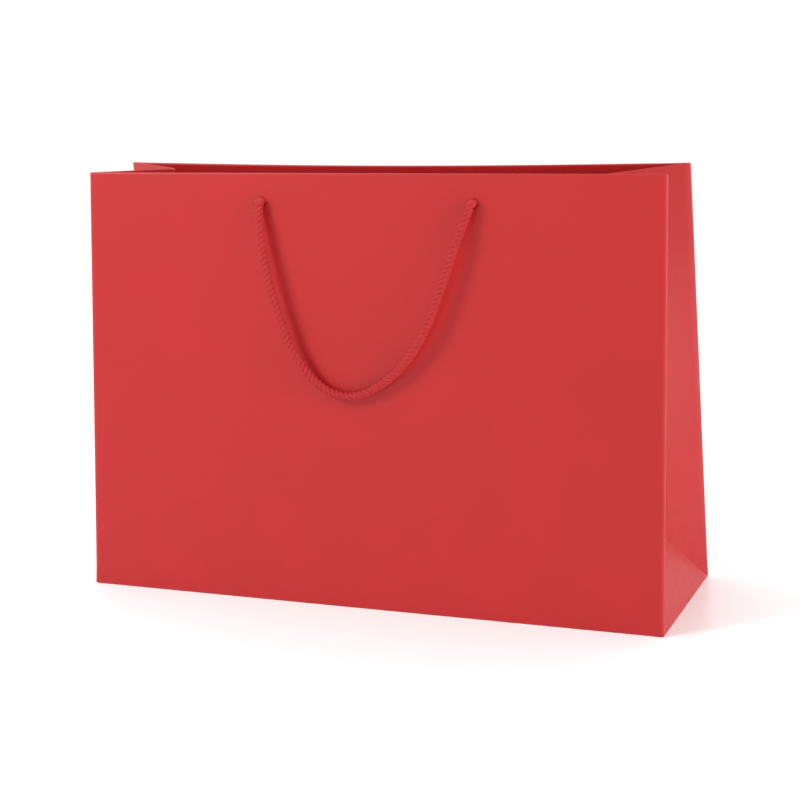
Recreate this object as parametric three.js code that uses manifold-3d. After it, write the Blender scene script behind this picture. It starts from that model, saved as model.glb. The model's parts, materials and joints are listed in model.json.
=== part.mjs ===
// Landscape paper carrier bag with two twisted rope handles, standing open on its base.
//
// Millimetres, +Z up. X runs along the wide panels, the front panel faces -Y, and the
// origin is the middle of the underside. Each wide panel leans inwards from its bottom
// edge, so the mouth is narrower than the base, and the gussets fold in between them.

import * as THREE from 'three';
import { mergeVertices } from 'three/addons/utils/BufferGeometryUtils.js';
import Module from 'manifold-3d';

const wasm = await Module();
wasm.setup();

// ---------------------------------------------------------------- driving sizes

const bagWidth = 425;
const bagDepth = 128;
const panelHeight = 300;
const mouthDepth = 64;

const paperThickness = 0.4;
const cardThickness = 1.0;
const boardThickness = 1.5;
const layerGap = 0.3;

const hemHeight = 45;
const hemEndInset = 10;
const cardHeight = 38;
const backPanelBow = 10;

const leftFoldIn = 51;
const rightFoldIn = 55;
const leftCreaseDrop = 1;
const rightCreaseDrop = 5;

const glueTabWidth = 18;
const glueTabInset = 4;
const endFlapLength = 70;
const flapOverlap = 18;
const boardEndClearance = 3.5;
const boardSideClearance = 2.5;

const ropeDiameter = 6;
const holeClearance = 0.35;
const holeBelowTop = 20;
const knotDiameter = 13;
const knotLength = 12;
const ropeTailLength = 17;

// Centre line of a hanging handle from one hole to the other: across the panel, out of
// the panel's plane (outwards is negative) and up from the holes.
const ropeStandOff = ropeDiameter / 2 + 3 * layerGap;
const handleRoute = [
  [-75, 0, 0],
  [-74.4, -1.6, -9],
  [-72.2, -3.2, -24],
  [-68.6, -4.4, -42],
  [-64, -5, -60],
  [-58, -4.8, -78],
  [-50.5, -3.9, -97],
  [-41, -2.6, -113],
  [-30, -1.2, -125],
  [-18, -0.2, -131.3],
  [-6, 0.2, -132.5],
  [7, -0.2, -128.5],
  [20, -1.2, -120.5],
  [33, -2.6, -109],
  [44.5, -3.9, -94],
  [54, -4.8, -75],
  [62, -5, -54],
  [69.5, -4.2, -33],
  [76, -2.4, -14],
  [81, 0, 0],
];

// ------------------------------------------------------------ worked-out sizes

const layer = paperThickness + layerGap;
const ropeRadius = ropeDiameter / 2;
const leanAngle = Math.asin((bagDepth - mouthDepth) / 2 / panelHeight);
const wallFoot = 0.2;
const topHeight = wallFoot + panelHeight * Math.cos(leanAngle);
const hemInnerFace = 2 * layer + cardThickness;
const holeHeight = panelHeight - holeBelowTop;
const holePlaces = [handleRoute[0][0], handleRoute[handleRoute.length - 1][0]];
const creaseApexIn = bagDepth / 2 * Math.sqrt(1 - ((1 - Math.sin(leanAngle)) / Math.cos(leanAngle)) ** 2);
const creaseApexHeight = wallFoot + bagDepth / 2 * (1 - Math.sin(leanAngle)) / Math.cos(leanAngle);

// ------------------------------------------------------------------- materials

function finish(color, roughness) {
  return new THREE.MeshStandardMaterial({ color, roughness, metalness: 0 });
}

const finishes = {
  laminatedPaper: () => finish('#cb3d3f', 0.45),
  gussetPaper: () => finish('#d4585a', 0.45),
  hemPaper: () => finish('#a3292b', 0.5),
  greyCard: () => finish('#b9b4aa', 0.9),
  whiteBoard: () => finish('#e9e6df', 0.85),
  twistedRope: () => finish('#cc4145', 0.7),
};

// --------------------------------------------------------------- solid helpers

function toSolid(geometry) {
  const bare = geometry.clone();
  bare.deleteAttribute('normal');
  bare.deleteAttribute('uv');
  const merged = mergeVertices(bare, 1e-4);
  return new wasm.Manifold(new wasm.Mesh({
    numProp: 3,
    vertProperties: Float32Array.from(merged.attributes.position.array),
    triVerts: Uint32Array.from(merged.index.array),
  }));
}

function toGeometry(solid) {
  const { vertProperties, triVerts } = solid.getMesh();
  const geometry = new THREE.BufferGeometry();
  geometry.setAttribute('position', new THREE.BufferAttribute(vertProperties, 3));
  geometry.setIndex(new THREE.BufferAttribute(triVerts, 1));
  geometry.computeVertexNormals();
  return geometry;
}

function joined(...geometries) {
  return toGeometry(geometries.map(toSolid).reduce((whole, next) => whole.add(next)));
}

function cutBy(geometry, cutters) {
  return toGeometry(cutters.map(toSolid).reduce((rest, next) => rest.subtract(next), toSolid(geometry)));
}

function common(first, second) {
  return toGeometry(toSolid(first).intersect(toSolid(second)));
}

function piece(name, geometry, material) {
  const mesh = new THREE.Mesh(geometry, material);
  mesh.name = name;
  return mesh;
}

// Moves every vertex of a geometry to the place that a function gives for it.
function reshaped(geometry, place) {
  const spots = geometry.attributes.position;
  const point = new THREE.Vector3();
  for (let i = 0; i < spots.count; i += 1) {
    point.fromBufferAttribute(spots, i);
    place(point);
    spots.setXYZ(i, point.x, point.y, point.z);
  }
  return geometry;
}

// ------------------------------------------------------------------- one wall
//
// A wall is drawn in its own plane: X across, Z up the panel, and Y inwards from the
// outer face. The bow is how far its top edge curves inwards in the middle.

function bowAt(bow, x, z) {
  return bow * Math.cos(Math.PI * x / bagWidth) * z / panelHeight;
}

function wallSheet(bow, [left, right], [low, high], [outer, inner]) {
  const across = bow === 0 ? 1 : 20;
  const upwards = bow === 0 ? 1 : Math.max(1, Math.round((high - low) / 60));
  const sheet = new THREE.BoxGeometry(right - left, inner - outer, high - low, across, 1, upwards);
  sheet.translate((left + right) / 2, (outer + inner) / 2, (low + high) / 2);
  return reshaped(sheet, (point) => {
    point.y += bowAt(bow, point.x, point.z);
  });
}

function ropeHoles(bow) {
  return holePlaces.map((x) => {
    const bore = new THREE.CylinderGeometry(ropeRadius + holeClearance, ropeRadius + holeClearance, 12, 20);
    return bore.translate(x, bowAt(bow, x, holeHeight), holeHeight);
  });
}

function panelSheet(bow) {
  const top = panelHeight - layer;
  const sheet = wallSheet(bow, [-bagWidth / 2, bagWidth / 2], [0, top], [0, paperThickness]);
  return cutBy(sheet, ropeHoles(bow));
}

function topCard(bow) {
  const reach = bagWidth / 2 - hemEndInset;
  const top = panelHeight - layer;
  const card = wallSheet(bow, [-reach, reach], [top - cardHeight, top], [layer, layer + cardThickness]);
  return cutBy(card, ropeHoles(bow));
}

// The hem is the panel's own paper, turned over the top edge and glued down inside.
function turnedHem(bow) {
  const reach = bagWidth / 2 - hemEndInset;
  const lipFloor = panelHeight - paperThickness;
  const innerFace = hemInnerFace;
  const leg = wallSheet(
    bow,
    [-reach, reach],
    [panelHeight - hemHeight, panelHeight - paperThickness / 2],
    [innerFace - paperThickness, innerFace],
  );
  const lip = wallSheet(bow, [-reach, reach], [lipFloor, panelHeight], [0, innerFace]);
  return cutBy(joined(leg, lip), ropeHoles(bow));
}

function glueTab(bow) {
  const start = -bagWidth / 2 + glueTabInset;
  const top = panelHeight - hemHeight - glueTabInset;
  return wallSheet(bow, [start, start + glueTabWidth], [glueTabInset * 2, top], [layer, layer + paperThickness]);
}

// The rope's end passes through the hole and is tied off behind the hem.
function ropeKnot(bow, x) {
  const back = hemInnerFace + layerGap;
  const widest = knotDiameter / 2;
  const profile = [
    [0, -2 * layerGap],
    [ropeRadius, -2 * layerGap],
    [ropeRadius, back],
    [widest * 0.8, back + knotLength * 0.08],
    [widest, back + knotLength * 0.35],
    [widest * 0.98, back + knotLength * 0.62],
    [widest * 0.75, back + knotLength * 0.88],
    [widest * 0.4, back + knotLength],
    [0, back + knotLength],
  ].map(([radius, along]) => new THREE.Vector2(radius, along));
  const knot = new THREE.LatheGeometry(profile, 16);
  const tail = new THREE.CylinderGeometry(ropeRadius, ropeRadius, ropeTailLength, 12);
  tail.rotateX(Math.PI / 2);
  tail.translate(0, back + knotLength * 0.55, -ropeTailLength / 2);
  return joined(knot, tail).translate(x, bowAt(bow, x, holeHeight), holeHeight);
}

// ------------------------------------------------------------------ one handle

function handleRope() {
  const route = new THREE.CatmullRomCurve3(handleRoute.map((spot) => new THREE.Vector3(...spot)));
  const section = new THREE.Shape().absarc(0, 0, ropeRadius, 0, 2 * Math.PI);
  const steps = Math.round(route.getLength() / (2 * ropeDiameter));
  const tube = new THREE.ExtrudeGeometry(section, { steps, extrudePath: route, curveSegments: 5 });
  const ends = holePlaces.map((x) => new THREE.SphereGeometry(ropeRadius, 12, 8).translate(x, 0, 0));
  return joined(tube, ...ends);
}

// Hangs the handle from the holes, and turns it out far enough to rest on a bowed panel.
function hungHandle(name, bow) {
  const rope = piece(name, handleRope(), finishes.twistedRope());
  const lowest = handleRoute.reduce((low, spot) => (spot[2] < low[2] ? spot : low));
  const bowAtHoles = Math.min(...holePlaces.map((x) => bowAt(bow, x, holeHeight)));
  const bowAtLowest = bowAt(bow, lowest[0], holeHeight + lowest[2]);
  rope.position.set(0, bowAtHoles - ropeStandOff, holeHeight);
  rope.rotation.x = -Math.atan2(bowAtHoles - bowAtLowest, -lowest[2]);
  return rope;
}

function wall(side, bow) {
  const leaning = new THREE.Group();
  leaning.position.set(0, -bagDepth / 2, wallFoot);
  leaning.rotation.x = -leanAngle;
  leaning.add(
    piece(`${side}_panel`, panelSheet(bow), finishes.laminatedPaper()),
    piece(`${side}_top_card`, topCard(bow), finishes.greyCard()),
    piece(`${side}_hem`, turnedHem(bow), finishes.hemPaper()),
    piece(`${side}_glue_tab`, glueTab(bow), finishes.gussetPaper()),
    hungHandle(`${side}_handle_rope`, bow),
  );
  ['first', 'second'].forEach((order, i) => {
    const knot = ropeKnot(bow, holePlaces[i]);
    leaning.add(piece(`${side}_${order}_rope_knot`, knot, finishes.twistedRope()));
  });
  return leaning;
}

// ---------------------------------------------------------------- one gusset
//
// side is -1 at the left end and 1 at the right, half is -1 at the front and 1 behind.
// Each gusset is a standing triangle on the base and two leaves that meet at a crease.

const foldEdgeInset = 1.0;
const foldFaceInset = 1.1;
const creaseInset = 0.45;
const footInset = 0.5;

function leafCorners(side, half, foldIn, drop) {
  const edgeX = side * (bagWidth / 2 - foldEdgeInset);
  return {
    foldLow: new THREE.Vector3(edgeX, half * (bagDepth / 2 - foldFaceInset), wallFoot + 2 * foldFaceInset),
    foldHigh: new THREE.Vector3(edgeX, half * (mouthDepth / 2 - foldFaceInset), topHeight),
    creaseLow: new THREE.Vector3(
      side * (bagWidth / 2 - creaseApexIn),
      half * creaseInset,
      creaseApexHeight + 2 * foldFaceInset,
    ),
    creaseHigh: new THREE.Vector3(side * (bagWidth / 2 - foldIn), half * creaseInset, topHeight - drop),
  };
}

// A sheet on the ruled surface between a leaf's fold and its crease. across runs from the
// fold to the crease, up from the bottom to the top, and inset moves it into the bag.
function leafSheet(corners, side, half, { across, up, inset, thickness }) {
  const { foldLow, foldHigh, creaseLow, creaseHigh } = corners;
  const sheet = new THREE.BoxGeometry(1, 1, 1, 4, 1, Math.max(3, Math.round(10 * (up[1] - up[0]))));
  const intoBag = new THREE.Vector3(-side, half, 0);
  return orientedOut(reshaped(sheet, (point) => {
    const u = THREE.MathUtils.lerp(across[0], across[1], point.x + 0.5);
    const w = THREE.MathUtils.lerp(up[0], up[1], point.z + 0.5);
    const onFold = foldLow.clone().lerp(foldHigh, w);
    const onCrease = creaseLow.clone().lerp(creaseHigh, w);
    const alongU = onCrease.clone().sub(onFold);
    const alongW = foldHigh.clone().sub(foldLow).lerp(creaseHigh.clone().sub(creaseLow), u);
    const normal = alongU.cross(alongW).normalize();
    if (normal.dot(intoBag) < 0) {
      normal.negate();
    }
    const lift = inset + point.y * thickness;
    point.copy(onFold.lerp(onCrease, u)).addScaledVector(normal, lift);
  }));
}

// Turns a closed geometry's triangles over if its volume comes out negative.
function orientedOut(geometry) {
  const merged = geometry.toNonIndexed();
  const spots = merged.attributes.position;
  const corners = [new THREE.Vector3(), new THREE.Vector3(), new THREE.Vector3()];
  let volume = 0;
  for (let i = 0; i < spots.count; i += 3) {
    corners.forEach((corner, k) => corner.fromBufferAttribute(spots, i + k));
    volume += corners[0].dot(corners[1].clone().cross(corners[2]));
  }
  if (volume > 0) {
    return geometry;
  }
  const index = geometry.index.array;
  for (let i = 0; i < index.length; i += 3) {
    [index[i], index[i + 1]] = [index[i + 1], index[i]];
  }
  return geometry;
}

// The triangle that stands on the base between the two bottom corners.
function gussetFoot(side) {
  const halfBase = bagDepth / 2 - foldFaceInset - 2 * footInset;
  const rise = creaseApexHeight - wallFoot - foldFaceInset;
  const lean = Math.atan2(creaseApexIn, creaseApexHeight - wallFoot);
  const outline = new THREE.Shape([
    new THREE.Vector2(-halfBase, 0),
    new THREE.Vector2(halfBase, 0),
    new THREE.Vector2(0, rise / Math.cos(lean)),
  ]);
  const sheet = new THREE.ExtrudeGeometry(outline, { depth: paperThickness, bevelEnabled: false });
  const upright = new THREE.Matrix4().makeBasis(
    new THREE.Vector3(0, 1, 0),
    new THREE.Vector3(-side * Math.sin(lean), 0, Math.cos(lean)),
    new THREE.Vector3(Math.cos(lean), 0, side * Math.sin(lean)),
  );
  sheet.translate(0, 0, -paperThickness / 2);
  sheet.applyMatrix4(upright);
  return sheet.translate(side * (bagWidth / 2 - footInset), 0, wallFoot + paperThickness);
}

function gusset(side, foldIn, drop) {
  const end = side < 0 ? 'left' : 'right';
  const parts = new THREE.Group();
  parts.add(piece(`${end}_gusset_foot`, gussetFoot(side), finishes.gussetPaper()));
  for (const half of [-1, 1]) {
    const place = half < 0 ? 'front' : 'rear';
    const corners = leafCorners(side, half, foldIn, drop);
    const leaf = { across: [0, 1], up: [0, 1], inset: 0, thickness: paperThickness };
    const hemStart = 1 - hemHeight / panelHeight;
    const hem = { across: [0.14, 1], up: [hemStart, 1], inset: layer, thickness: paperThickness };
    parts.add(
      piece(`${end}_${place}_gusset_leaf`, leafSheet(corners, side, half, leaf), finishes.gussetPaper()),
      piece(`${end}_${place}_gusset_hem`, leafSheet(corners, side, half, hem), finishes.hemPaper()),
    );
  }
  return parts;
}

// ------------------------------------------------------------------- the base

const flapEdgeInset = 0.7;
const endFlapInset = 2;
const joggleRamp = 2;

// A long flap's plan: full width at the bag's edge, with its ends cut back at 45 degrees.
function longFlapPlan(edgeY, freeY) {
  const cornerX = bagWidth / 2 - 2 * flapEdgeInset;
  const mitre = Math.abs(edgeY - freeY);
  const plan = new THREE.Shape([
    new THREE.Vector2(-cornerX, edgeY),
    new THREE.Vector2(cornerX, edgeY),
    new THREE.Vector2(cornerX - mitre, freeY),
    new THREE.Vector2(-cornerX + mitre, freeY),
  ]);
  return plan;
}

// The front flap lies on the floor and steps up over the rear flap's free edge.
function frontBaseFlap() {
  const edge = -bagDepth / 2 + flapEdgeInset;
  const free = flapOverlap / 2;
  const rampEnd = -flapOverlap / 2 - 2 * layerGap;
  const rampStart = rampEnd - joggleRamp;
  const profile = new THREE.Shape([
    new THREE.Vector2(edge, 0),
    new THREE.Vector2(rampStart, 0),
    new THREE.Vector2(rampEnd, layer),
    new THREE.Vector2(free, layer),
    new THREE.Vector2(free, layer + paperThickness),
    new THREE.Vector2(rampEnd, layer + paperThickness),
    new THREE.Vector2(rampStart, paperThickness),
    new THREE.Vector2(edge, paperThickness),
  ]);
  const strip = new THREE.ExtrudeGeometry(profile, { depth: bagWidth, bevelEnabled: false });
  strip.translate(0, 0, -bagWidth / 2);
  strip.applyMatrix4(new THREE.Matrix4().makeBasis(
    new THREE.Vector3(0, 1, 0),
    new THREE.Vector3(0, 0, 1),
    new THREE.Vector3(1, 0, 0),
  ));
  const plan = new THREE.ExtrudeGeometry(longFlapPlan(edge, free), { depth: 4 * layer, bevelEnabled: false });
  return common(strip, plan.translate(0, 0, -layer));
}

function rearBaseFlap() {
  const plan = longFlapPlan(bagDepth / 2 - flapEdgeInset, -flapOverlap / 2);
  return new THREE.ExtrudeGeometry(plan, { depth: paperThickness, bevelEnabled: false });
}

function endBaseFlap(side) {
  const outerX = side * (bagWidth / 2 - endFlapInset);
  const innerX = side * (bagWidth / 2 - endFlapInset - endFlapLength);
  const halfWide = bagDepth / 2 - 2 * flapEdgeInset;
  const taper = 6;
  const plan = new THREE.Shape([
    new THREE.Vector2(outerX, -halfWide),
    new THREE.Vector2(outerX, halfWide),
    new THREE.Vector2(innerX, halfWide - taper),
    new THREE.Vector2(innerX, -halfWide + taper),
  ]);
  const flap = new THREE.ExtrudeGeometry(plan, { depth: paperThickness, bevelEnabled: false });
  return flap.translate(0, 0, 2 * layer);
}

function baseBoard() {
  const length = bagWidth - 2 * boardEndClearance;
  const width = bagDepth - 2 * boardSideClearance;
  const board = new THREE.BoxGeometry(length, width, boardThickness);
  return board.translate(0, 0, 3 * layer + boardThickness / 2);
}

function base() {
  const parts = new THREE.Group();
  parts.add(
    piece('front_base_flap', frontBaseFlap(), finishes.laminatedPaper()),
    piece('rear_base_flap', rearBaseFlap(), finishes.laminatedPaper()),
    piece('left_end_flap', endBaseFlap(-1), finishes.laminatedPaper()),
    piece('right_end_flap', endBaseFlap(1), finishes.laminatedPaper()),
    piece('base_board', baseBoard(), finishes.whiteBoard()),
  );
  return parts;
}

// -------------------------------------------------------------------- the bag

const backWall = new THREE.Group();
backWall.rotation.z = Math.PI;
backWall.add(wall('back', backPanelBow));

const bag = new THREE.Group();
bag.add(
  base(),
  gusset(-1, leftFoldIn, leftCreaseDrop),
  gusset(1, rightFoldIn, rightCreaseDrop),
  wall('front', 0),
  backWall,
);

export default bag;
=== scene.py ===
# %% [markdown]
# # A paper carrier bag with rope handles
#
# This notebook dresses a landscape gift bag of laminated red paper. The CAD frame already says
# where every folded panel, card, board and rope lies, and how the parts move. What it lacks is
# what the eye reads as paper: folds with a small radius, a sheet that turns over the top edge
# and comes down inside as a hem, panels that are never quite flat, and rope with real strands.
# Each cell makes one of those things.

# %% Load the frame
import json
import math

import bpy
from mathutils import Matrix, Vector


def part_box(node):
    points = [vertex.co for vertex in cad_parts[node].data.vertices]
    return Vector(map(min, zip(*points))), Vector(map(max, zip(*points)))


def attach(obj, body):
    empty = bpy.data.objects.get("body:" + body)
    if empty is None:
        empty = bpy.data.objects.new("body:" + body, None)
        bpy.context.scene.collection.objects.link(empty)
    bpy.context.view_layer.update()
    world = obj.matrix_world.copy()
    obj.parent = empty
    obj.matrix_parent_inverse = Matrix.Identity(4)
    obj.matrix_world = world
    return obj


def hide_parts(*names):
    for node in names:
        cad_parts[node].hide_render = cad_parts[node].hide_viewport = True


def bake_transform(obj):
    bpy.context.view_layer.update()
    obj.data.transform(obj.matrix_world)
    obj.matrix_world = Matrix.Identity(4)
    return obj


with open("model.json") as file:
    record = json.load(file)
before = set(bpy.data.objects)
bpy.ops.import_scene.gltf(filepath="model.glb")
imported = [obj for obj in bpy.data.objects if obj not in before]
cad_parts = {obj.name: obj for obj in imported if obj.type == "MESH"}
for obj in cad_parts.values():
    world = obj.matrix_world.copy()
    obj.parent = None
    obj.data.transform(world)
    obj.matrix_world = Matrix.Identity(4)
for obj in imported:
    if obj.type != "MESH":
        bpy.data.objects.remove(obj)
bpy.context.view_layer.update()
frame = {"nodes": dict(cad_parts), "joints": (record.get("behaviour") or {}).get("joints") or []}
JOINTS = {joint["name"]: joint for joint in frame["joints"]}
MM = 0.001

# %% [markdown]
# ## The bag's main sizes
#
# The bag's width, height, lean and how far each end folds in are measured from the frame, so
# the paper can never drift away from the solids that stand for it in a simulation. The front
# panel's box gives the width. Its hinge gives the bottom edge, and from the bottom edge to the
# top corner is the panel's height and its lean. The gusset leaves' boxes give how far each end
# folds in at the top. The paper's thickness, the hem's depth, the holes' height and the back
# wall's bow are set here as numbers.

# %% Sizes from the frame
PAPER = 0.4 * MM
LAYER = 0.7 * MM

_, panel_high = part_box("front_panel")
_, FOOT_Y, FOOT_Z = JOINTS["front_wall_fold"]["pos_m"]
HALF_WIDTH = panel_high.x
HALF_DEPTH = -FOOT_Y
run = panel_high.y - FOOT_Y - PAPER
rise = panel_high.z - FOOT_Z
LEAN = math.atan2(run, rise)
HEIGHT = math.hypot(run, rise) + LAYER
HEM = 45 * MM
HOLE_UP = HEIGHT - 20 * MM
BACK_BOW = 10 * MM
FOLD_IN = {
    -1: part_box("left_front_gusset_leaf")[1].x + HALF_WIDTH,
    1: HALF_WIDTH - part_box("right_front_gusset_leaf")[0].x,
}
print(f"panel {2 * HALF_WIDTH:.3f} x {HEIGHT:.3f} m, leaning {math.degrees(LEAN):.2f} degrees")

# %% [markdown]
# ## A wall's own plane
#
# It is easiest to draw a panel lying flat in its own plane: `x` across, `up` the panel and
# `inwards` from its printed face. One function then leans it and sets it on the bag. The back
# wall is the same drawing turned half round. Its top edge bows towards the front, because
# nothing stiff holds the middle of a long mouth, so the bow grows with height.

# %% From a wall's plane to the bag


def set_on_bag(wall, x, inwards, up):
    y = FOOT_Y + inwards * math.cos(LEAN) + up * math.sin(LEAN)
    z = FOOT_Z - inwards * math.sin(LEAN) + up * math.cos(LEAN)
    return Vector((x, y, z)) if wall == "front" else Vector((-x, -y, z))


def bow(wall, x, up):
    if wall == "front":
        return 0.0
    return BACK_BOW * math.cos(math.pi * x / (2 * HALF_WIDTH)) * up / HEIGHT


# %% [markdown]
# ## Camera
#
# The bag is seen from the front right with a long lens, from a little above its top edge, so
# both the wide panel and a sliver of gusset show. The camera is tilted down and rolled a little.
# The vertical shift only slides the frame over the picture, and leaves the perspective alone.

# %% Camera
YAW, PITCH, ROLL = math.radians(22.38), math.radians(10.36), math.radians(-2.50)

level = Vector((math.cos(YAW), math.sin(YAW), 0))
ahead = Vector((-math.sin(YAW), math.cos(YAW), 0))
looking = math.cos(PITCH) * ahead - math.sin(PITCH) * Vector((0, 0, 1))
upright = math.sin(PITCH) * ahead + math.cos(PITCH) * Vector((0, 0, 1))
rightwards = math.cos(ROLL) * level + math.sin(ROLL) * upright
upwards = -math.sin(ROLL) * level + math.cos(ROLL) * upright

camera = bpy.data.objects.new("camera", bpy.data.cameras.new("camera"))
bpy.context.scene.collection.objects.link(camera)
camera.matrix_world = Matrix((rightwards, upwards, -looking)).transposed().to_4x4()
camera.location = (0.5078, -1.2053, 0.4437)
camera.data.sensor_width = 36
camera.data.lens = 85.2
camera.data.shift_y = -0.125
bpy.context.scene.camera = camera
print(f"camera {camera.location.length:.2f} m from the bag, {camera.data.lens:.0f} mm lens")

# %% [markdown]
# ## Colour and node helpers
#
# A hex colour is how a printer would quote a colour, but shaders work in linear light, so one
# function converts it. A second one adds a shader node, fills in its inputs and links them.

# %% Helpers for materials


def linear(hex_colour):
    channels = [int(hex_colour[i:i + 2], 16) / 255 for i in (1, 3, 5)]
    curve = [c / 12.92 if c <= 0.04045 else ((c + 0.055) / 1.055) ** 2.4 for c in channels]
    return (*curve, 1.0)


def add(tree, kind, inputs=None, **settings):
    """Adds a node. An input is keyed by name or number, and is a value or a socket to link."""
    node = tree.nodes.new(kind)
    for name, value in settings.items():
        setattr(node, name, value)
    for key, value in (inputs or {}).items():
        if isinstance(value, bpy.types.NodeSocket):
            tree.links.new(value, node.inputs[key])
        else:
            node.inputs[key].default_value = value
    return node


def new_material(name):
    """A material with nothing in it, and its node tree."""
    material = bpy.data.materials.new(name)
    material.use_nodes = True
    material.node_tree.nodes.clear()
    return material, material.node_tree


# %% [markdown]
# ## Laminated art paper
#
# The outside of the bag is art paper, printed red all over and laminated with a matt film. The
# film gives a soft, wide highlight and turns paler towards grazing angles, which is why the
# gusset looks lighter than the front. Under it the paper's fibres raise the surface by a few
# hundredths of a millimetre. They are really about half a millimetre apart, and are drawn
# twice as coarse, so that they show. Along a fold the film is stretched and the red pales a
# little, and the same paler red also stands in for the thin highlight a rounded fold catches,
# so it is partly wear and partly a painted highlight. The mesh carries it as a per-point
# attribute. Two more attributes say how far a point is from the flat-folding crease, and how
# much a part has been dented in handling.

# %% Laminated paper
FIBRE_SPACING = 1.1 * MM
DENT_SPACING = 13 * MM
CLOUD_SPACING = 70 * MM
FOLD_PATCH_SPACING = 30 * MM
FIBRE_HEIGHT = 0.03 * MM
DENT_DEPTH = 1.6 * MM
CREASE_RIDGE = 0.6 * MM
CREASE_BELOW, CREASE_ABOVE = 1.6 * MM, 1.2 * MM


def laminated_paper(name, red, worn_and_highlit_red):
    material, tree = new_material(name)
    place = add(tree, "ShaderNodeTexCoord").outputs["Object"]
    clouds = add(tree, "ShaderNodeTexNoise", {
        "Vector": place, "Scale": 1 / CLOUD_SPACING, "Detail": 3.0,
    })
    tint = add(tree, "ShaderNodeMapRange", {
        "Value": clouds.outputs["Fac"],
        "From Min": 0.3, "From Max": 0.7,
        "To Min": 0.97, "To Max": 1.03,
    })
    printed = add(
        tree, "ShaderNodeVectorMath", {0: linear(red)[:3], 1: tint.outputs["Result"]}, operation="MULTIPLY"
    )
    # Folds pale towards the second red: partly worn film, partly a painted highlight along the fold.
    wear = add(tree, "ShaderNodeAttribute", attribute_name="fold_wear")
    fold_patches = add(tree, "ShaderNodeTexNoise", {
        "Vector": place, "Scale": 1 / FOLD_PATCH_SPACING, "Detail": 4.0,
    })
    fold_patchiness = add(tree, "ShaderNodeMapRange", {
        "Value": fold_patches.outputs["Fac"],
        "From Min": 0.35, "From Max": 0.65,
        "To Min": 0.55, "To Max": 1.0,
    })
    worn_and_highlit = add(
        tree, "ShaderNodeMath", {0: wear.outputs["Fac"], 1: fold_patchiness.outputs["Result"]}, operation="MULTIPLY"
    )
    colour = add(
        tree,
        "ShaderNodeMix",
        {0: worn_and_highlit.outputs[0], 6: printed.outputs[0], 7: linear(worn_and_highlit_red)},
        data_type="RGBA",
    )
    fibres = add(tree, "ShaderNodeTexNoise", {
        "Vector": place, "Scale": 1 / FIBRE_SPACING, "Detail": 5.0,
    })
    grain = add(tree, "ShaderNodeBump", {
        "Strength": 0.35, "Distance": FIBRE_HEIGHT, "Height": fibres.outputs["Fac"],
    })
    handled = add(tree, "ShaderNodeAttribute", attribute_name="handling")
    dents = add(tree, "ShaderNodeTexNoise", {
        "Vector": place, "Scale": 1 / DENT_SPACING, "Detail": 1.5,
    })
    dented = add(
        tree, "ShaderNodeMath", {0: dents.outputs["Fac"], 1: handled.outputs["Fac"]}, operation="MULTIPLY"
    )
    crumple = add(tree, "ShaderNodeBump", {
        "Strength": 1.0, "Distance": DENT_DEPTH, "Height": dented.outputs[0],
        "Normal": grain.outputs["Normal"],
    })
    from_crease = add(tree, "ShaderNodeAttribute", attribute_name="crease_distance")
    ridge = add(tree, "ShaderNodeMapRange", {
        "Value": from_crease.outputs["Fac"],
        "From Min": -CREASE_BELOW, "From Max": CREASE_ABOVE,
    }, interpolation_type="SMOOTHERSTEP")
    relief = add(tree, "ShaderNodeBump", {
        "Strength": 1.0, "Distance": CREASE_RIDGE, "Height": ridge.outputs["Result"],
        "Normal": crumple.outputs["Normal"],
    })
    gloss = add(tree, "ShaderNodeMapRange", {
        "Value": fibres.outputs["Fac"],
        "From Min": 0.3, "From Max": 0.7,
        "To Min": 0.40, "To Max": 0.50,
    })
    shader = add(tree, "ShaderNodeBsdfPrincipled", {
        "Base Color": colour.outputs[2],
        "Roughness": gloss.outputs["Result"],
        "IOR": 1.5,
        "Specular IOR Level": 0.40,
        "Coat Weight": 0.10,
        "Coat Roughness": 0.32,
        "Normal": relief.outputs["Normal"],
    })
    add(tree, "ShaderNodeOutputMaterial", {"Surface": shader.outputs[0]})
    return material


# The second red is the pale fold colour: worn film and a painted fold highlight.
printed_paper = laminated_paper("matt_laminated_red_paper", "#AE1013", "#C03235")
print("made", printed_paper.name)

# %% [markdown]
# ## Bare paper and grey board
#
# The sheet's back is uncoated and off-white: it shows at cut edges and inside, below the hem.
# The stiffeners are grey board, pressed from waste paper, so it is flecked with darker and
# lighter fibres. Both are very rough, and both come from one function: a ground colour, flecks
# of a second colour, and a bump from the same noise.

# %% Uncoated papers


def uncoated_board(name, ground, fleck, fleck_spacing, relief_height):
    material, tree = new_material(name)
    place = add(tree, "ShaderNodeTexCoord").outputs["Object"]
    pulp = add(tree, "ShaderNodeTexNoise", {"Vector": place, "Scale": 1 / fleck_spacing, "Detail": 8.0})
    flecks = add(tree, "ShaderNodeMapRange", {
        "Value": pulp.outputs["Fac"],
        "From Min": 0.52, "From Max": 0.72,
    })
    colour = add(
        tree,
        "ShaderNodeMix",
        {0: flecks.outputs["Result"], 6: linear(ground), 7: linear(fleck)},
        data_type="RGBA",
    )
    relief = add(tree, "ShaderNodeBump", {
        "Strength": 0.6, "Distance": relief_height, "Height": pulp.outputs["Fac"],
    })
    shader = add(tree, "ShaderNodeBsdfPrincipled", {
        "Base Color": colour.outputs[2],
        "Roughness": 0.88,
        "IOR": 1.5,
        "Normal": relief.outputs["Normal"],
    })
    add(tree, "ShaderNodeOutputMaterial", {"Surface": shader.outputs[0]})
    return material


paper_back = uncoated_board("uncoated_paper_back", "#EFECE6", "#DDD8CE", 1.5 * MM, 0.03 * MM)
grey_board = uncoated_board("grey_board", "#A9A59C", "#7F7B73", 2.0 * MM, 0.08 * MM)
lined_board = uncoated_board("white_lined_board", "#E4E1DA", "#CFCBC2", 2.5 * MM, 0.05 * MM)
print("made", paper_back.name, grey_board.name, lined_board.name)
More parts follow.
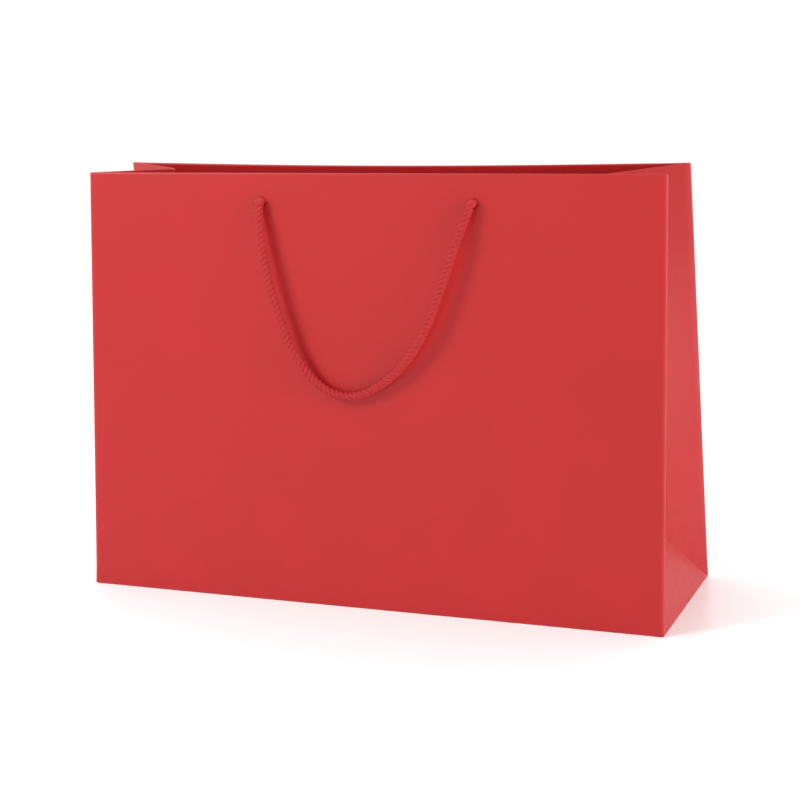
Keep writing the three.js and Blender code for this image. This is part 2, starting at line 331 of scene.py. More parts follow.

# %% [markdown]
# ## Dyed twisted cord
#
# The handles are three-strand polypropylene cord dyed the red of the paper. Each strand is a
# bundle of yarns, which show as slanting ridges a little over a millimetre apart. The grooves
# between them are coloured a darker red, which is painted shade. Light sinks in between the
# fibres, so the cord is rougher than the paper, with a slight sheen from loose fibre ends. The
# mesh carries a map: u counts the strands round the cord, and v is metres along it.

# %% Twisted cord
YARNS_ROUND = 5
YARN_SLANT = 3.2 * MM
TUFT_SPACING = 0.5 * MM
YARN_HEIGHT = 0.12 * MM


def twisted_cord(name, red, shaded_groove_red):
    material, tree = new_material(name)
    turns = add(tree, "ShaderNodeUVMap", uv_map="along_cord")
    split = add(tree, "ShaderNodeSeparateXYZ", {0: turns.outputs["UV"]})
    around = add(
        tree, "ShaderNodeMath", {0: split.outputs["X"], 1: float(YARNS_ROUND)}, operation="MULTIPLY"
    )
    along = add(
        tree, "ShaderNodeMath", {0: split.outputs["Y"], 1: 1 / YARN_SLANT}, operation="MULTIPLY"
    )
    slant = add(
        tree, "ShaderNodeMath", {0: around.outputs[0], 1: along.outputs[0]}, operation="ADD"
    )
    phase = add(
        tree, "ShaderNodeMath", {0: slant.outputs[0], 1: 2 * math.pi}, operation="MULTIPLY"
    )
    ridge = add(tree, "ShaderNodeMath", {0: phase.outputs[0]}, operation="SINE")
    place = add(tree, "ShaderNodeTexCoord").outputs["Object"]
    fibres = add(tree, "ShaderNodeTexNoise", {
        "Vector": place, "Scale": 1 / TUFT_SPACING, "Detail": 4.0,
    })
    height = add(
        tree,
        "ShaderNodeMath",
        {0: fibres.outputs["Fac"], 1: 1.2, 2: ridge.outputs[0]},
        operation="MULTIPLY_ADD",
    )
    shade = add(tree, "ShaderNodeMapRange", {
        "Value": height.outputs[0],
        "From Min": -0.8, "From Max": 1.4,
    })
    # Low places between the yarns take the darker red: painted shade in the grooves.
    colour = add(
        tree,
        "ShaderNodeMix",
        {0: shade.outputs["Result"], 6: linear(shaded_groove_red), 7: linear(red)},
        data_type="RGBA",
    )
    relief = add(tree, "ShaderNodeBump", {
        "Strength": 0.7, "Distance": YARN_HEIGHT, "Height": height.outputs[0],
    })
    shader = add(tree, "ShaderNodeBsdfPrincipled", {
        "Base Color": colour.outputs[2],
        "Roughness": 0.75,
        "IOR": 1.45,
        "Sheen Weight": 0.04,
        "Sheen Roughness": 0.5,
        "Normal": relief.outputs["Normal"],
    })
    add(tree, "ShaderNodeOutputMaterial", {"Surface": shader.outputs[0]})
    return material


# The second red is the painted shade in the grooves between yarns.
cord_finish = twisted_cord("dyed_twisted_cord", "#C6262A", "#98161A")
print("made", cord_finish.name)

# %% [markdown]
# ## How a sheet of paper becomes a mesh
#
# Paper could be made as a flat box, but a box has no fold and no back. Here every piece is a
# grid of points on the printed face, in rows going up the bag, and Solidify gives it 0.4 mm of
# body towards its bare back. Cut edges show bare paper too, but where a piece ends at a fold
# the real sheet goes on, so that edge keeps the printed red. Folds are rows or columns set
# close together on an arc, so they catch the light as real folds do.

# %% Sheets, arcs and spacing
PRINTED, BARE = 0, 1
CLOSE_TO_EDGE = (0, 1.2 * MM, 3 * MM, 6 * MM, 10 * MM)
EDGE_BAND = 16 * MM


def paper_sheet(name, rows, edges=BARE, **marks):
    """A sheet from rows of points on its printed face, with marks at each point, such as pale folds (wear
    and a painted highlight).
    """
    mesh = bpy.data.meshes.new(name)
    across = len(rows[0])
    points = [point for row in rows for point in row]
    faces = [
        (j * across + i, j * across + i + 1, (j + 1) * across + i + 1, (j + 1) * across + i)
        for j in range(len(rows) - 1)
        for i in range(across - 1)
    ]
    mesh.from_pydata(points, [], faces)
    for mark, values in marks.items():
        attribute = mesh.attributes.new(mark, "FLOAT", "POINT")
        attribute.data.foreach_set("value", [value for row in values for value in row])
    mesh.materials.append(printed_paper)
    mesh.materials.append(paper_back)
    sheet = bpy.data.objects.new(name, mesh)
    bpy.context.scene.collection.objects.link(sheet)
    body = sheet.modifiers.new("body", "SOLIDIFY")
    body.thickness = PAPER
    body.offset = -1
    body.material_offset = BARE
    body.material_offset_rim = edges
    return sheet


def settle(piece, sharp_angle=50):
    """Turns a piece's modifiers into plain mesh, and smooths all but its sharp edges."""
    graph = bpy.context.evaluated_depsgraph_get()
    mesh = bpy.data.meshes.new_from_object(piece.evaluated_get(graph))
    piece.modifiers.clear()
    piece.data = mesh
    mesh.shade_smooth()
    mesh.set_sharp_from_angle(angle=math.radians(sharp_angle))
    return piece


def smooth_step(low, high, value):
    share = min(1.0, max(0.0, (value - low) / (high - low)))
    return share * share * (3 - 2 * share)


def spread(low, high, step):
    """Places from low to high, about a step apart, closing up towards both ends."""
    inner_low, inner_high = low + EDGE_BAND, high - EDGE_BAND
    count = max(1, round((inner_high - inner_low) / step))
    middle = [inner_low + (inner_high - inner_low) * i / count for i in range(count + 1)]
    first = [low + gap for gap in CLOSE_TO_EDGE]
    last = [high - gap for gap in reversed(CLOSE_TO_EDGE)]
    return first + middle + last


# %% [markdown]
# ## The profile of a wall
#
# Cut a wall upright and its sheet is a hook. It starts at the bottom fold, climbs the outside,
# rolls over the top edge round the stiffening card, and comes down inside as the hem. The card
# stops short of the corners, so there the hem lies closer to the outside. Each step of the
# profile is a height and a share of the hem's depth.

# %% Profile up the outside, over the top and down the hem
HEM_DEPTH = 2.4 * MM
CORNER_HEM_DEPTH = 1.1 * MM
BOTTOM_RADIUS = 0.8 * MM
ROLL_STEPS = 8
HEM_STEPS = 8
ROLL_SQUARENESS = 0.55
PROFILE_STEP = 9 * MM


def hook_profile(start, step):
    """Steps (up, depth share, roll angle) from start over the top edge to the hem's end."""
    steps = [(up, 0.0, None) for up in spread(start, HEIGHT - HEM_DEPTH / 2, step)]
    steps += [(None, None, math.pi * k / ROLL_STEPS) for k in range(1, ROLL_STEPS)]
    down_inside = [HEIGHT - HEM_DEPTH / 2 - HEM * k / HEM_STEPS for k in range(HEM_STEPS)]
    steps += [(max(up, HEIGHT - HEM), 1.0, None) for up in down_inside]
    return steps


def profile_point(step, depth):
    """A profile step as (up, inwards), where the hem lies that deep."""
    up, share, roll = step
    if roll is None:
        return up, depth * share
    radius = depth / 2
    across = math.copysign(abs(math.cos(roll)) ** ROLL_SQUARENESS, math.cos(roll))
    return HEIGHT - radius + radius * math.sin(roll) ** ROLL_SQUARENESS, radius * (1 - across)


print("a wall's profile has", len(hook_profile(0, PROFILE_STEP)), "steps")

# %% [markdown]
# ## Where the ends fold in
#
# Each end is pushed in along a centre crease. Below the top of its foot the crease splits in
# two, and each half slants down to a bottom corner. Where the crease lies at each height also
# says how sharply the upright folds have to turn: about 116 degrees low down, where the end is
# nearly open, and almost 150 degrees at the mouth.

# %% The centre crease and the upright folds
APEX_IN = HALF_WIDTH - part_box("right_gusset_foot")[0].x
APEX_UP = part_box("right_gusset_foot")[1].z - FOOT_Z
CREASE_DROP = {-1: 1 * MM, 1: 5 * MM}
FOOT_FOLD_RADIUS = 0.5 * MM
MOUTH_FOLD_RADIUS = 1.3 * MM
LOWEST_TURN = 5 * MM


def fold_radius(up):
    grown = smooth_step(0, 15 * MM, up)
    return FOOT_FOLD_RADIUS + (MOUTH_FOLD_RADIUS - FOOT_FOLD_RADIUS) * grown


def crease_place(side, up):
    """Where a leaf ends at this height: how far in from the end, across, and how much lower."""
    tall = up * math.cos(LEAN)
    share = tall / APEX_UP
    if share < 1:
        folded, across = APEX_IN * share, HALF_DEPTH * share
    else:
        higher = (tall - APEX_UP) / (HEIGHT * math.cos(LEAN) - APEX_UP)
        folded, across = APEX_IN + (FOLD_IN[side] - APEX_IN) * higher, HALF_DEPTH
    inwards = (across - up * math.sin(LEAN)) / math.cos(LEAN)
    return folded, inwards, inwards * math.sin(LEAN) - CREASE_DROP[side] * up / HEIGHT


def turn_angle(side, up):
    folded, inwards, _ = crease_place(side, max(up, LOWEST_TURN))
    return math.pi / 2 + math.atan2(folded, inwards)


for side, side_name in ((-1, "left"), (1, "right")):
    low_turn, top_turn = (math.degrees(turn_angle(side, up)) for up in (0, HEIGHT))
    print(f"{side_name} folds turn {low_turn:.0f} degrees low down, {top_turn:.0f} at the mouth")

# %% [markdown]
# ## The two wide panels
#
# Each panel is one sheet with its hem. Its ends turn round the upright folds on a radius of
# about a millimetre, tighter at the foot. Stiff laminated paper still waves by a fraction of a
# millimetre, and that is what makes a long highlight wander, so the faces get a gentle warp
# that dies out at the folds. The stiff card under the top edge shows through as a faint step.

# %% Wide panels
TURN_STEPS = 8
COLUMN_STEP = 8 * MM
# How far folds pale towards the second red: film wear plus a painted fold highlight.
FOLD_WEAR_AND_HIGHLIGHT = 0.6
SLOW_WAVE, SLOW_HEIGHT = 310 * MM, 0.35 * MM
QUICK_WAVE, QUICK_WAVE_UP, QUICK_HEIGHT = 118 * MM, 160 * MM, 0.10 * MM
CARD_STEP = 0.12 * MM
HOLE_PLACES = (-75 * MM, 81 * MM)
HOLE_RADIUS = 3.35 * MM


def warp(wall, x, up):
    """How far a face bends inwards from flat: long and short waves, less the card's step."""
    inside = (1 - (x / HALF_WIDTH) ** 4) * math.sin(math.pi * min(1, max(0, up / HEIGHT)))
    slow = math.sin(2 * math.pi * x / SLOW_WAVE + 0.9) * math.cos(math.pi * up / HEIGHT)
    quick = math.sin(2 * math.pi * (x + 0.4 * up) / QUICK_WAVE)
    quick *= math.sin(2 * math.pi * up / QUICK_WAVE_UP)
    over_card = smooth_step(HEIGHT - 43 * MM, HEIGHT - 37 * MM, up)
    card = CARD_STEP * over_card * (1 - (x / HALF_WIDTH) ** 10)
    return inside * (SLOW_HEIGHT * slow + QUICK_HEIGHT * quick) - card


def wall_columns():
    """Across a wall: (0, x) on its face, or (end, share of the turn) round an upright fold."""
    turns = [k / TURN_STEPS for k in range(1, TURN_STEPS + 1)]
    left = [(-1, turn) for turn in reversed(turns)]
    face = [(0, x) for x in spread(-HALF_WIDTH, HALF_WIDTH, COLUMN_STEP)]
    return left + face + [(1, turn) for turn in turns]


def wall_point(wall, column, step):
    end, value = column
    up = step[0] if step[0] is not None else HEIGHT
    radius = fold_radius(up)
    flat_x = end * HALF_WIDTH
    if end == 0:
        flat_x = max(-1, min(1, value / HALF_WIDTH)) * (HALF_WIDTH - radius)
    card_share = 1 - smooth_step(HALF_WIDTH - 9 * MM, HALF_WIDTH - 4 * MM, abs(flat_x))
    depth = CORNER_HEM_DEPTH + (HEM_DEPTH - CORNER_HEM_DEPTH) * card_share
    up, inwards = profile_point(step, depth)
    if end == 0:
        curve = bow(wall, flat_x, up) + warp(wall, flat_x, up)
        return set_on_bag(wall, flat_x, inwards + curve, up)
    reach = radius - inwards
    turn = value * turn_angle(end if wall == "front" else -end, up)
    x = end * (HALF_WIDTH - radius + reach * math.sin(turn))
    return set_on_bag(wall, x, radius - reach * math.cos(turn), up)


# Upright folds and the panel's last 1.5 mm pale: wear and a painted fold highlight.
def wall_wear_and_highlight(column):
    if column[0] != 0:
        return FOLD_WEAR_AND_HIGHLIGHT
    return FOLD_WEAR_AND_HIGHLIGHT * smooth_step(HALF_WIDTH - 1.5 * MM, HALF_WIDTH, abs(column[1]))


def punch(sheet, wall):
    """Cuts the two rope holes through a wall's sheet and its hem."""
    for x in HOLE_PLACES:
        across = set_on_bag(wall, x, 1.0, HOLE_UP) - set_on_bag(wall, x, 0.0, HOLE_UP)
        bpy.ops.mesh.primitive_cylinder_add(vertices=32, radius=HOLE_RADIUS, depth=16 * MM)
        punch_tool = bpy.context.object
        punch_tool.matrix_world = (
            Matrix.Translation(set_on_bag(wall, x, bow(wall, x, HOLE_UP), HOLE_UP))
            @ across.to_track_quat("Z", "Y").to_matrix().to_4x4()
        )
        hole = sheet.modifiers.new("hole", "BOOLEAN")
        hole.operation = "DIFFERENCE"
        hole.solver = "EXACT"
        hole.object = punch_tool
        settle(sheet)
        bpy.data.objects.remove(punch_tool)


columns = wall_columns()
bottom_turn = [math.pi / 2 * (1 - k / 3) for k in range(3)]
steps = hook_profile(BOTTOM_RADIUS, PROFILE_STEP)
for wall in ("front", "back"):
    rows = [[wall_point(wall, column, step) for column in columns] for step in steps]
    # Pale upright and bottom folds: wear and a painted fold highlight.
    wear = [[wall_wear_and_highlight(column) for column in columns] for step in steps]
    for angle in reversed(bottom_turn):
        tucked = BOTTOM_RADIUS * (1 - math.cos(angle))
        low = BOTTOM_RADIUS * (1 - math.sin(angle))
        shifted = [wall_point(wall, column, (low, 0.0, None)) for column in columns]
        inward = set_on_bag(wall, 0, 1.0, 0) - set_on_bag(wall, 0, 0.0, 0)
        rows.insert(0, [point + inward * tucked for point in shifted])
        wear.insert(0, [FOLD_WEAR_AND_HIGHLIGHT] * len(columns))
    panel = paper_sheet(f"{wall}_panel_and_hem", rows, fold_wear=wear)
    punch(panel, wall)
    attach(panel, f"{wall}_wall")
    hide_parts(f"{wall}_panel", f"{wall}_hem")
    print(panel.name, len(panel.data.polygons), "faces")

# %% [markdown]
# ## Gusset leaves
#
# Each end of the bag folds inwards down a centre crease, so it is two leaves meeting in a
# valley. A leaf carries on from the panel's upright fold: same sheet, same hem. It runs
# straight to the crease, with a slight belly, and ends by turning square to its twin. Low down
# it meets the foot along a slanting crease, and laps a few millimetres behind it, because this
# leaf has to bend when the wall opens while the foot stays put. It parts from the foot most
# halfway along that crease, so the lap is widest there and hides the inside of the bag. Level
# with the top of the foot runs a soft crease, left from folding the bag flat for packing.

# %% Gusset leaves
LAP = 3 * MM
MORE_LAP_HALFWAY = 9 * MM
LEAF_STEPS = 14
CREASE_STEPS = 4
LEAF_COLUMNS = LEAF_STEPS + CREASE_STEPS
CREASE_RADIUS = 0.3 * MM
CREASE_LIFT = 2 * MM
BELLY = 0.7 * MM


def soft_crease(up):
    """The line left by flat folding: the leaf bends out a little at the height of the apex."""
    away = abs(up - APEX_UP - CREASE_LIFT)
    return 0.5 * MM * math.exp(-away / (12 * MM))


def crease_distance(column, step):
    """How far above the flat-folding line a point is, in metres."""
    if step[0] is None or step[1] > 0:
        return 1.0
    return step[0] - (APEX_UP + (2 - 2.5 * min(column / LEAF_STEPS, 1)) * MM)


def leaf_handling(wall, column, step):
    """Dents, mostly low down on a rear leaf, where a folded bag is gripped."""
    if step[0] is None or step[1] > 0:
        return 0.0
    low = smooth_step(5 * MM, 20 * MM, step[0]) * (1 - smooth_step(40 * MM, 60 * MM, step[0]))
    return 0.1 + (0.9 if wall == "back" else 0.3) * low * (1 - column / LEAF_COLUMNS)


def leaf_path(wall, side, up):
    """Across a leaf to its crease, at one height: (end, place, lift, way the print faces)."""
    end = side if wall == "front" else -side
    radius = fold_radius(up)
    turn = turn_angle(side, up)
    folded, across, lift = crease_place(side, up)
    start = Vector((HALF_WIDTH - radius + radius * math.sin(turn), radius - radius * math.cos(turn)))
    finish = Vector((HALF_WIDTH - folded, across))
    straight = Vector((math.cos(turn), math.sin(turn)))
    above_foot = smooth_step(APEX_UP + 2 * MM, APEX_UP + 9 * MM, up)
    lap = LAP + MORE_LAP_HALFWAY * math.sin(math.pi * min(1, up / APEX_UP)) ** 2
    finish += straight * lap * (1 - smooth_step(APEX_UP, APEX_UP + 5 * MM, up))
    facing = Vector((math.sin(turn), -math.cos(turn)))
    path = []
    for k in range(LEAF_STEPS + 1):
        along = k / LEAF_STEPS
        spot = start.lerp(finish, along)
        belly = BELLY * math.sin(math.pi * along) * smooth_step(0, 60 * MM, up)
        ridge = soft_crease(up) * smooth_step(0, 0.15, along) * (1 - smooth_step(0.7, 1, along))
        spot = spot - facing * (belly - ridge)
        path.append((end, spot, lift * along, facing))
    last = path.pop()
    toward = Vector((1, 0))
    for k in range(CREASE_STEPS):
        turned = k / (CREASE_STEPS - 1)
        way = facing.lerp(toward, turned * above_foot).normalized()
        nudge = CREASE_RADIUS * (turned - 1)
        path.append((end, last[1] + straight * nudge, last[2], way))
    return path


def leaf_point(wall, side, column, step):
    up = step[0] if step[0] is not None else HEIGHT
    higher, inwards = profile_point(step, CORNER_HEM_DEPTH)
    end, spot, lift, facing = leaf_path(wall, side, up)[column]
    spot = spot - facing * inwards
    return set_on_bag(wall, end * spot.x, spot.y, higher) + Vector((0, 0, lift))


for side, side_name in ((-1, "left"), (1, "right")):
    for wall, wall_name in (("front", "front"), ("back", "rear")):
        order = list(range(LEAF_COLUMNS))
        if (side if wall == "front" else -side) < 0:
            order.reverse()
        rows = [[leaf_point(wall, side, column, step) for column in order] for step in steps]
        # The leaf's fold and crease columns pale: wear and a painted fold highlight.
        wear = [
            [FOLD_WEAR_AND_HIGHLIGHT if column == 0 or column > LEAF_STEPS else 0.0 for column in order]
            for step in steps
        ]
        crease = [[crease_distance(column, step) for column in order] for step in steps]
        dents = [[leaf_handling(wall, column, step) for column in order] for step in steps]
        name = f"{side_name}_{wall_name}_gusset_leaf_and_hem"
        leaf = paper_sheet(
            name, rows, edges=PRINTED, fold_wear=wear, crease_distance=crease, handling=dents
        )
        settle(leaf)
        node = f"{side_name}_{wall_name}_gusset"
        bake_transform(leaf)
        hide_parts(f"{node}_leaf", f"{node}_hem")
        print(leaf.name, len(leaf.data.polygons), "faces")

# %% [markdown]
# ## Gusset feet
#
# At the bottom of each end a triangle of the same sheet leans in between the two slanting
# creases. It keeps a small roll along the bottom fold, and sits a hair outside the leaves that
# pass behind it.

# %% Gusset feet
FOOT_ROWS = 16
FOOT_COLUMNS = 20
TIP_HALF_WIDTH = 1.2 * MM
TIP_PAST_APEX = 3 * MM
CORNER_GAP = 0.6 * MM
UNDER_STEPS = 3


def across_foot(middle, half):
    """A row of points from -half to half across the bag."""
    places = [(2 * i / FOOT_COLUMNS - 1) * half for i in range(FOOT_COLUMNS + 1)]
    return [middle + Vector((0, place, 0)) for place in places]


def foot_rows(side):
    """The roll along the bottom fold, then the triangle leaning in to just past its apex."""
    bottom = Vector((side * HALF_WIDTH, 0, FOOT_Z))
    rows = []
    for k in range(UNDER_STEPS):
        angle = math.pi / 2 * (1 - k / (UNDER_STEPS + 1))
        tuck = BOTTOM_RADIUS * (1 - math.cos(angle))
        rise_up = BOTTOM_RADIUS * (1 - math.sin(angle))
        rows.append(across_foot(bottom + Vector((-side * tuck, 0, rise_up)), HALF_DEPTH - CORNER_GAP))
    lean_in = Vector((-side * APEX_IN, 0, APEX_UP)).normalized()
    heights = [BOTTOM_RADIUS + (APEX_UP - BOTTOM_RADIUS) * k / FOOT_ROWS for k in range(FOOT_ROWS + 1)]
    for up in heights + [APEX_UP + TIP_PAST_APEX]:
        half = max(HALF_DEPTH * (1 - up / APEX_UP), TIP_HALF_WIDTH)
        rows.append(across_foot(bottom + lean_in * (up / lean_in.z), half))
    return rows if side > 0 else [row[::-1] for row in rows]


for side, side_name in ((-1, "left"), (1, "right")):
    rows = foot_rows(side)
    # The foot's edges and bottom roll pale: wear and a painted fold highlight.
    edge_wear_and_highlight = [0.5 if i in (0, FOOT_COLUMNS) else 0.0 for i in range(FOOT_COLUMNS + 1)]
    bottom_wear_and_highlight = [0.5] * (FOOT_COLUMNS + 1)
    wear = [bottom_wear_and_highlight if j < UNDER_STEPS else edge_wear_and_highlight for j in range(len(rows))]
    dents = [[0.35 * smooth_step(0, 4, j)] * (FOOT_COLUMNS + 1) for j in range(len(rows))]
    foot = paper_sheet(
        f"{side_name}_foot_triangle", rows, edges=PRINTED, fold_wear=wear, handling=dents
    )
    settle(foot)
    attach(foot, "base")
    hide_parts(f"{side_name}_gusset_foot")
    print(foot.name, len(foot.data.polygons), "faces")

# %% [markdown]
# ## The loose base board
#
# A board of white-lined grey board lies on the glued flaps, to spread the load. It is die-cut,
# so its edges are crisp, with the slight rounding a blunt die leaves.

# %% Base board
board_low, board_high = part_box("base_board")
bpy.ops.mesh.primitive_cube_add(size=1, location=(board_low + board_high) / 2)
board = bpy.context.object
board.name = "loose_base_board"
board.scale = board_high - board_low
bpy.ops.object.transform_apply(location=False, rotation=False, scale=True)
bevel = board.modifiers.new("die_cut_edge", "BEVEL")
bevel.width = 0.35 * MM
bevel.segments = 3
settle(board, 60)
board.data.materials.append(lined_board)
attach(board, "base")
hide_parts("base_board")
print("board", [round(size / MM, 1) for size in board.dimensions], "mm")

# %% [markdown]
# ## Laying a cord
#
# A cord is drawn as its makers lay it: three round strands twisted about one axis. The outline
# of such a bundle is three lobes, and it turns steadily along the centreline, so the strands
# wind round each other without being modelled one by one. The same function lays the long
# handles and the short ends with their knots. Both ends are rounded off.

# %% Cord mesh
STRAND_RADIUS = 1.75 * MM
STRAND_OFF_AXIS = 1.3 * MM
CORD_LAY = 11 * MM
ROUND_CORD = 30


def through(points, spacing):
    """A smooth line through given points, as places about one spacing apart."""
    line = [Vector(point) for point in points]
    line = [2 * line[0] - line[1]] + line + [2 * line[-1] - line[-2]]
    fine = []
    for a, b, c, d in zip(line, line[1:], line[2:], line[3:]):
        for k in range(24):
            t = k / 24
            fine.append(0.5 * (2 * b + (c - a) * t + (2 * a - 5 * b + 4 * c - d) * t ** 2
                               + (3 * b - a - 3 * c + d) * t ** 3))
    fine.append(line[-2])
    places = [fine[0]]
    walked = 0.0
    for before, after in zip(fine, fine[1:]):
        step = (after - before).length
        while step > 0 and walked + step >= spacing:
            before = before.lerp(after, (spacing - walked) / step)
            places.append(before)
            step = (after - before).length
            walked = 0.0
        walked += step
    if (places[-1] - fine[-1]).length > spacing / 2:
        places.append(fine[-1])
    else:
        places[-1] = fine[-1]
    return places


def lobes(angle):
    """Radius of a three-strand bundle at this angle round its axis."""
    third = 2 * math.pi / 3
    off = (angle + third / 2) % third - third / 2
    return STRAND_OFF_AXIS * math.cos(off) + math.sqrt(
        max(0.0, STRAND_RADIUS ** 2 - (STRAND_OFF_AXIS * math.sin(off)) ** 2)
    )


def lay_cord(name, centreline, first_dome=1.0, last_dome=1.0):
    """A three-strand cord along a centreline, its ends domed by a share of its radius."""
    outer = STRAND_OFF_AXIS + STRAND_RADIUS
    tangents = [
        (centreline[min(i + 1, len(centreline) - 1)] - centreline[max(i - 1, 0)]).normalized()
        for i in range(len(centreline))
    ]
    rings = []
    dome = [math.pi / 2 * k / 6 for k in range(1, 6)]
    for angle in reversed(dome):
        rings.append((centreline[0] - tangents[0] * outer * first_dome * math.sin(angle),
                      tangents[0], math.cos(angle), 0.0))
    walked = 0.0
    for i, place in enumerate(centreline):
        if i:
            walked += (place - centreline[i - 1]).length
        rings.append((place, tangents[i], 1.0, walked))
    for angle in dome:
        rings.append((centreline[-1] + tangents[-1] * outer * last_dome * math.sin(angle),
                      tangents[-1], math.cos(angle), walked))
    side = tangents[0].orthogonal().normalized()
    mesh = bpy.data.meshes.new(name)
    points, maps = [], []
    for place, tangent, width, along in rings:
        side = (side - tangent * side.dot(tangent)).normalized()
        other = tangent.cross(side)
        turn = 2 * math.pi * along / CORD_LAY
        for k in range(ROUND_CORD):
            angle = 2 * math.pi * k / ROUND_CORD
            reach = lobes(angle) * width
            heading = angle + turn
            points.append(place + (side * math.cos(heading) + other * math.sin(heading)) * reach)
            maps.append((3 * k / ROUND_CORD, along))
    faces = []
    for j in range(len(rings) - 1):
        for k in range(ROUND_CORD):
            after = (k + 1) % ROUND_CORD
            faces.append((j * ROUND_CORD + k, j * ROUND_CORD + after,
                          (j + 1) * ROUND_CORD + after, (j + 1) * ROUND_CORD + k))
    faces.append(tuple(reversed(range(ROUND_CORD))))
    faces.append(tuple((len(rings) - 1) * ROUND_CORD + k for k in range(ROUND_CORD)))
    mesh.from_pydata(points, [], faces)
    layer = mesh.uv_layers.new(name="along_cord")
    for polygon in mesh.polygons:
        around = [maps[vertex][0] for vertex in polygon.vertices]
        wraps = max(around) - min(around) > 1.5
        for loop, vertex, u in zip(polygon.loop_indices, polygon.vertices, around):
            layer.data[loop].uv = (u + 3 if wraps and u < 1 else u, maps[vertex][1])
    mesh.materials.append(cord_finish)
    mesh.shade_smooth()
    cord = bpy.data.objects.new(name, mesh)
    bpy.context.scene.collection.objects.link(cord)
    return cord


# %% [markdown]
# ## Handles
#
# A handle is a length of cord whose two ends pass through the wall and are knotted inside. It
# leaves the holes downwards, stands a few millimetres off the wall at the sides, and closes in
# a rounded loop whose lowest point is a little left of the middle. The points below are its
# route beside the wall, in millimetres: across, inwards (so away from the wall is negative)
# and up from the holes. The back handle hangs the same way, tipped to lie along its bowed wall.

# %% Handles
ROUTE = (
    (-75, 0, 0), (-74.4, -1.6, -9), (-72.2, -3.2, -24), (-68.6, -4.4, -42), (-64, -5, -60),
    (-58, -4.8, -78), (-50.5, -3.9, -97), (-41, -2.6, -113), (-30, -1.2, -125), (-18, -0.2, -131.3),
    (-6, 0.2, -132.5), (7, -0.2, -128.5), (20, -1.2, -120.5), (33, -2.6, -109), (44.5, -3.9, -94),
    (54, -4.8, -75), (62, -5, -54), (69.5, -4.2, -33), (76, -2.4, -14), (81, 0, 0),
)
LOWEST = 132.5 * MM
hole_bow = {wall: min(bow(wall, x, HOLE_UP) for x in HOLE_PLACES) for wall in ("front", "back")}
STAND_OFF = 3.9 * MM

for wall in ("front", "back"):
    tip = math.atan2(hole_bow[wall] - bow(wall, 0, HOLE_UP - LOWEST), LOWEST)
    route = []
    for x, out, up in ROUTE:
        leaned_out = out * math.cos(tip) + up * math.sin(tip)
        leaned_up = up * math.cos(tip) - out * math.sin(tip)
        route.append(set_on_bag(
            wall, x * MM, hole_bow[wall] - STAND_OFF + leaned_out * MM, HOLE_UP + leaned_up * MM
        ))
    centreline = through(route, 0.8 * MM)
    handle = lay_cord(f"{wall}_twisted_cord_handle", centreline)
    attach(handle, f"{wall}_handle")
    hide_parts(f"{wall}_handle_rope")

# %% [markdown]
# ## Cord ends and knots
#
# Each end comes through its hole, winds a little over one and a half times round as an overhand
# knot would, and leaves a short tail hanging inside. The knot is wider than the hole, which is all that
# holds the handle.

# %% Knotted ends
KNOT_START = HEM_DEPTH + 3.4 * MM
KNOT_LENGTH = 6.2 * MM
KNOT_RADIUS = 3.5 * MM
KNOT_TURNS = 1.6
KNOT_POINTS = 20
TAIL = 17 * MM


def knotted_end(wall, x):
    wall_bow = bow(wall, x, HOLE_UP)
    pivot = hole_bow[wall] - STAND_OFF
    points = [(0, pivot, 0), (0, pivot + 2 * MM, 0), (0, wall_bow + 1 * MM, 0)]
    for k in range(KNOT_POINTS + 1):
        share = k / KNOT_POINTS
        angle = 2 * math.pi * KNOT_TURNS * share - math.pi / 2
        reach = KNOT_RADIUS * smooth_step(-0.12, 0.15, share)
        points.append((
            reach * math.cos(angle),
            wall_bow + KNOT_START + KNOT_LENGTH * share,
            reach * math.sin(angle),
        ))
    side, depth, up = points[-1]
    points += [
        (side * 0.9, depth + 1.0 * MM, up - 4 * MM),
        (side * 0.6, depth + 0.5 * MM, up - 9 * MM),
        (side * 0.4, depth - 0.5 * MM, up - TAIL),
    ]
    return [set_on_bag(wall, x + a, b, HOLE_UP + c) for a, b, c in points]


for wall in ("front", "back"):
    for x, which in zip(HOLE_PLACES, ("first", "second")):
        centreline = through(knotted_end(wall, x), 0.6 * MM)
        knot = lay_cord(f"{wall}_{which}_cord_end_and_knot", centreline, 0.95, 0.4)
        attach(knot, f"{wall}_wall")
        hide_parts(f"{wall}_{which}_rope_knot")
        print(knot.name, len(knot.data.polygons), "faces")

# %% [markdown]
# ## Finishes for the flat parts
#
# The flaps under the bag, the glue tabs and the top cards are plain strips, and almost hidden,
# so their solids stay as they are and only take a finish. The flaps show their printed side
# below. A glue tab is stuck behind the panel, so what can be seen of it is its bare back. The
# solids that other pieces stand for are hidden, and take a finish only so that none is bare.

# %% Finishes for the frame's own parts
FLAT_PARTS = {
    "front_base_flap": printed_paper,
    "rear_base_flap": printed_paper,
    "left_end_flap": paper_back,
    "right_end_flap": paper_back,
    "front_glue_tab": paper_back,
    "back_glue_tab": paper_back,
    "front_top_card": grey_board,
    "back_top_card": grey_board,
}
for name, finish in FLAT_PARTS.items():
    part = frame["nodes"][name]
    part.data.materials.clear()
    part.data.materials.append(finish)
for name, part in frame["nodes"].items():
    if name not in FLAT_PARTS:
        part.data.materials.clear()
        part.data.materials.append(cord_finish if "rope" in name else printed_paper)
print(len(FLAT_PARTS), "flat parts finished")

# %% [markdown]
# ## Floor and light
#
# A product on a white sweep: a pale satin floor with a faint reflection, a soft light high on
# the left in front, a broader one out to the right for the gusset, and a pale surrounding that
# keeps the shadows open.

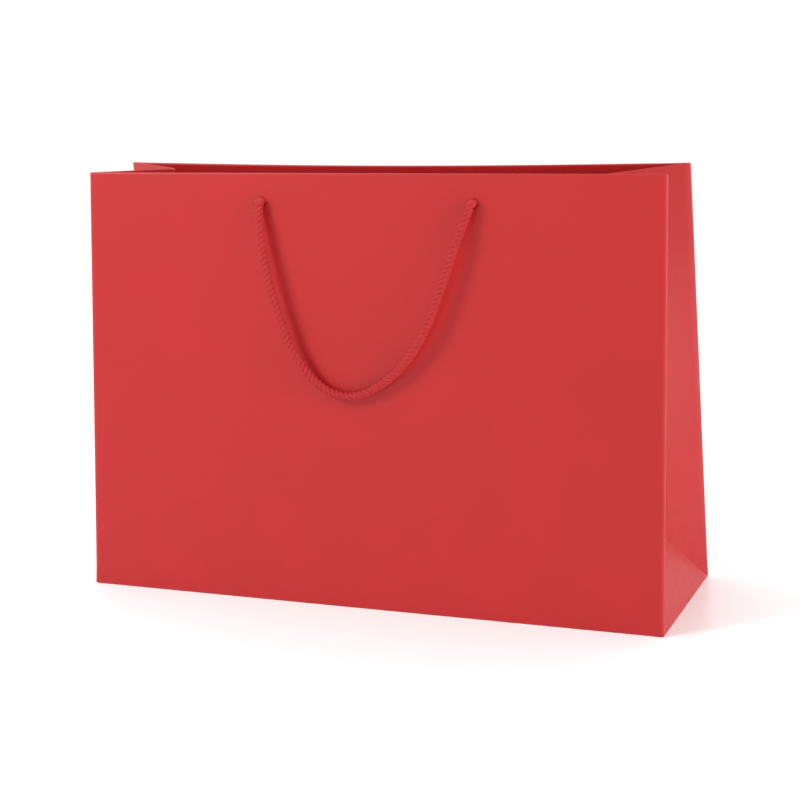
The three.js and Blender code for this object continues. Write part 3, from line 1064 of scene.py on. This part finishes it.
# %% Floor
floor_finish, floor_tree = new_material("pale_satin_floor")
floor_shader = add(floor_tree, "ShaderNodeBsdfPrincipled", {
    "Base Color": linear("#FAFAFA"), "Roughness": 0.28, "IOR": 1.4,
})
add(floor_tree, "ShaderNodeOutputMaterial", {"Surface": floor_shader.outputs[0]})
bpy.ops.mesh.primitive_plane_add(size=8, location=(0, 0, 0))
floor = bpy.context.object
floor.name = "floor"
floor.data.materials.append(floor_finish)
print("floor laid")

# %% Lights
KEY_WATTS = 18
FILL_WATTS = 38


def soft_light(name, place, size, watts):
    lamp = bpy.data.lights.new(name, "AREA")
    lamp.size = size
    lamp.energy = watts
    light = bpy.data.objects.new(name, lamp)
    light.location = place
    aim = Vector((0, 0, 0.15)) - light.location
    light.rotation_euler = aim.to_track_quat("-Z", "Y").to_euler()
    bpy.context.scene.collection.objects.link(light)


soft_light("key", (-1.15, -1.0, 1.2), 0.5, KEY_WATTS)
soft_light("fill_on_the_gusset", (2.6, -0.5, 0.7), 1.2, FILL_WATTS)

surround = bpy.data.worlds.new("studio_surround")
surround.use_nodes = True
surround.node_tree.nodes.clear()
direction = add(surround.node_tree, "ShaderNodeTexCoord").outputs["Generated"]
parts = add(surround.node_tree, "ShaderNodeSeparateXYZ", {0: direction})
high = add(
    surround.node_tree,
    "ShaderNodeMath",
    {0: parts.outputs["Y"], 1: parts.outputs["Z"]},
    operation="ADD",
)
ceiling = add(surround.node_tree, "ShaderNodeMapRange", {
    "Value": high.outputs[0],
    "From Min": -0.3, "From Max": 0.5,
    "To Min": -0.72, "To Max": 0.13,
})
above = add(surround.node_tree, "ShaderNodeMapRange", {
    "Value": parts.outputs["Z"],
    "From Min": 0.22, "From Max": 0.42,
})
strength = add(
    surround.node_tree,
    "ShaderNodeMath",
    {0: ceiling.outputs["Result"], 1: above.outputs["Result"], 2: 1.02},
    operation="MULTIPLY_ADD",
)
glow = add(surround.node_tree, "ShaderNodeBackground", {
    "Color": (1, 1, 1, 1), "Strength": strength.outputs[0],
})
add(surround.node_tree, "ShaderNodeOutputWorld", {"Surface": glow.outputs[0]})
bpy.context.scene.world = surround
bpy.context.scene.view_settings.view_transform = "Standard"
print("studio lit")
